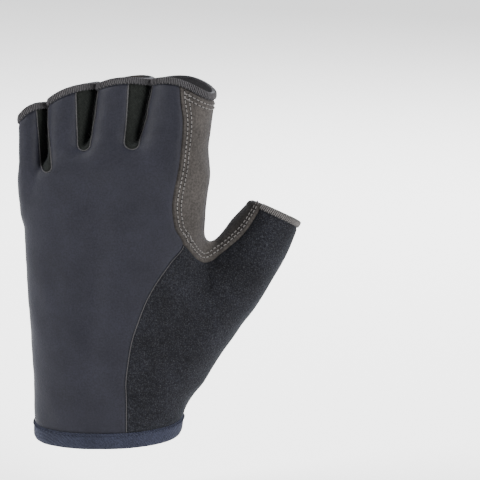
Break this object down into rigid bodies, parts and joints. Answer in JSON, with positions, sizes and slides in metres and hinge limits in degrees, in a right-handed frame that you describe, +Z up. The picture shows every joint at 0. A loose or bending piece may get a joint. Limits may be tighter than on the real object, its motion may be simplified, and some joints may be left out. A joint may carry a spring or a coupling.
{
  "type": "half-finger trekking glove",
  "caption": "Left half-finger trekking glove in its worn form: stretch back, perforated suede palm with padded patch, knit thumb, overlocked finger edges, jersey hem and pull tab.",
  "frame": {"origin": "middle of the wrist opening, level with the lowest edge of the hem at the back of the hand", "axes": "+Z up the hand to the fingers, -Y out of the back of the hand, +Y out of the palm, +X to the thumb side"},
  "size_m": [0.1197, 0.0528, 0.1674],
  "materials": {
    "softshell": "charcoal-navy stretch softshell, fine even face with a soft sheen",
    "suede": "grey-brown synthetic suede, perforated on the palm, matt short nap",
    "patch_suede": "lighter grey-brown suede over padding, double stitched",
    "brushed_knit": "near-black brushed knit with a fuzzy, slightly speckled face",
    "strip_knit": "thin greenish-black knit",
    "jersey": "blue-grey jersey binding",
    "overlock_thread": "dark grey textured overlock thread over a folded edge"
  },
  "bodies": {
    "root": {"back_panel": "softshell", "palm_panel": "suede", "palm_patch": "patch_suede", "web_panel": "suede", "thumb_panel": "brushed_knit", "fourchette_little_ring": "strip_knit", "fourchette_ring_middle": "strip_knit", "fourchette_middle_index": "strip_knit", "hem_band": "jersey", "edge_little": "overlock_thread", "edge_ring": "overlock_thread", "edge_middle": "overlock_thread", "edge_index": "overlock_thread", "thumb_edge": "overlock_thread"}
  },
  "joints": []
}
